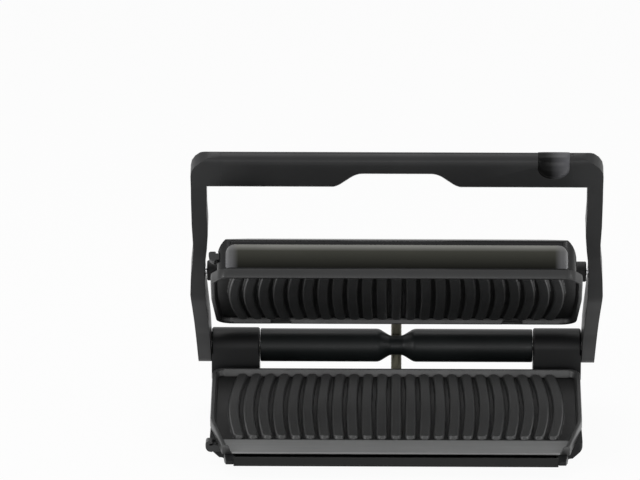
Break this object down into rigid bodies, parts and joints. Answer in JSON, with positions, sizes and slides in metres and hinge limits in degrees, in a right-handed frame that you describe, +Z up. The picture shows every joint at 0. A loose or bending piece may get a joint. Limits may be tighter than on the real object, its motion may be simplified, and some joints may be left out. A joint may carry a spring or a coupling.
{
  "type": "electric contact grill",
  "caption": "Electric contact grill with ribbed plates, a floating lid hung in a U-shaped handle, a hinged cross tube and a front drip tray.",
  "frame": {"origin": "centre of the bounding box on the table, under the feet, in the modelled half open pose", "axes": "+X to the grill's right along the handle's hinge line, +Y to the back, +Z up"},
  "size_m": [0.4668, 0.315, 0.3472],
  "materials": {
    "casing": "fine matte moulded black",
    "cover": "matte black",
    "bush": "sintered bearing metal",
    "heater": "heat-darkened tube",
    "reflector": "bright sheet",
    "brass": "plain",
    "board": "circuit board lacquer",
    "rubber": "matte",
    "fastener": "zinc plated",
    "conduit": "woven metal braid, olive grey",
    "plate": "cast, with a satin dark non-stick coating",
    "tray": "satin dark grey",
    "lever": "satin dark grey",
    "handle": "fine grain, satin dark grey",
    "handle_cover": "semi gloss black",
    "tube": "satin, slightly blue black",
    "shaft": "ground",
    "ring": "translucent light ring",
    "key": "gloss black",
    "lid": "semi gloss black",
    "steel": "brushed dark steel"
  },
  "bodies": {
    "base": {"base_shell": "casing", "base_cover": "cover", "tower_left": "casing", "tower_right": "casing", "bush_left": "bush", "bush_right": "bush", "lower_heater": "heater", "lower_reflector": "reflector", "thermostat": "brass", "power_board": "board", "cord_gland": "rubber", "conduit_gland_base": "casing", "feet": "rubber", "base_screws": "fastener", "conduit_lower": "conduit"},
    "lower_plate": {"lower_plate": "plate"},
    "drip_tray": {"drip_tray": "tray"},
    "lower_lever": {"lower_lever": "lever"},
    "handle": {"arm_left": "handle", "arm_right": "handle", "crossbar": "handle", "bar_cover_panel": "handle_cover", "dial_cup": "handle", "control_board": "board", "cross_tube": "tube", "hinge_shaft": "shaft", "pivot_pin_left": "shaft", "pivot_pin_right": "shaft", "bar_screws": "fastener", "indicator_ring": "ring"},
    "power_key": {"power_key": "key"},
    "key_1": {"key_1": "key"},
    "key_2": {"key_2": "key"},
    "key_3": {"key_3": "key"},
    "key_4": {"key_4": "key"},
    "ok_key": {"ok_key": "key"},
    "lid": {"lid_shell": "lid", "front_panel": "steel", "top_panel": "steel", "lid_frame": "cover", "upper_heater": "heater", "upper_reflector": "reflector", "conduit_gland_lid": "casing", "lid_screws": "fastener", "conduit_upper": "conduit"},
    "upper_plate": {"upper_plate": "plate"},
    "upper_lever": {"upper_lever": "lever"}
  },
  "joints": [
    {"name": "handle_hinge", "type": "hinge", "parent": "base", "child": "handle", "pos_m": [0, 0.1255, 0.075], "axis": [-1, 0, 0], "range_deg": [-47, 43], "deforming": ["conduit_lower"]},
    {"name": "lid_tilt", "type": "hinge", "parent": "handle", "child": "lid", "pos_m": [0, 0.02361, 0.18983], "axis": [-1, 0, 0], "range_deg": [-11.5, 12.5], "deforming": ["conduit_upper"]},
    {"name": "lower_plate_lift", "type": "slide", "parent": "base", "child": "lower_plate", "axis": [0, -0.1219, 0.9925], "range_m": [0, 0.04]},
    {"name": "upper_plate_release", "type": "slide", "parent": "lid", "child": "upper_plate", "axis": [0, -0.4695, -0.8829], "range_m": [0, 0.025]},
    {"name": "drip_tray_slide", "type": "slide", "parent": "base", "child": "drip_tray", "axis": [0, -1, 0], "range_m": [0, 0.06]},
    {"name": "lower_lever_press", "type": "slide", "parent": "base", "child": "lower_lever", "axis": [1, 0, 0], "range_m": [0, 0.002], "stiffness_N_per_m": 600, "springref_m": -0.002},
    {"name": "upper_lever_press", "type": "slide", "parent": "lid", "child": "upper_lever", "axis": [1, 0, 0], "range_m": [0, 0.003], "stiffness_N_per_m": 600, "springref_m": -0.002},
    {"name": "power_key_press", "type": "slide", "parent": "handle", "child": "power_key", "axis": [0, -0.8192, -0.5736], "range_m": [0, 0.0012], "stiffness_N_per_m": 250, "springref_m": -0.0012},
    {"name": "key_1_press", "type": "slide", "parent": "handle", "child": "key_1", "axis": [0, -0.8192, -0.5736], "range_m": [0, 0.0012], "stiffness_N_per_m": 250, "springref_m": -0.0012},
    {"name": "key_2_press", "type": "slide", "parent": "handle", "child": "key_2", "axis": [0, -0.8192, -0.5736], "range_m": [0, 0.0012], "stiffness_N_per_m": 250, "springref_m": -0.0012},
    {"name": "key_3_press", "type": "slide", "parent": "handle", "child": "key_3", "axis": [0, -0.8192, -0.5736], "range_m": [0, 0.0012], "stiffness_N_per_m": 250, "springref_m": -0.0012},
    {"name": "key_4_press", "type": "slide", "parent": "handle", "child": "key_4", "axis": [0, -0.8192, -0.5736], "range_m": [0, 0.0012], "stiffness_N_per_m": 250, "springref_m": -0.0012},
    {"name": "ok_key_press", "type": "slide", "parent": "handle", "child": "ok_key", "axis": [0, -0.8192, -0.5736], "range_m": [0, 0.0012], "stiffness_N_per_m": 250, "springref_m": -0.0012}
  ],
  "couplings": [
    {"joint": "lid_tilt", "follows": "handle_hinge", "ratio": -0.25532}
  ]
}
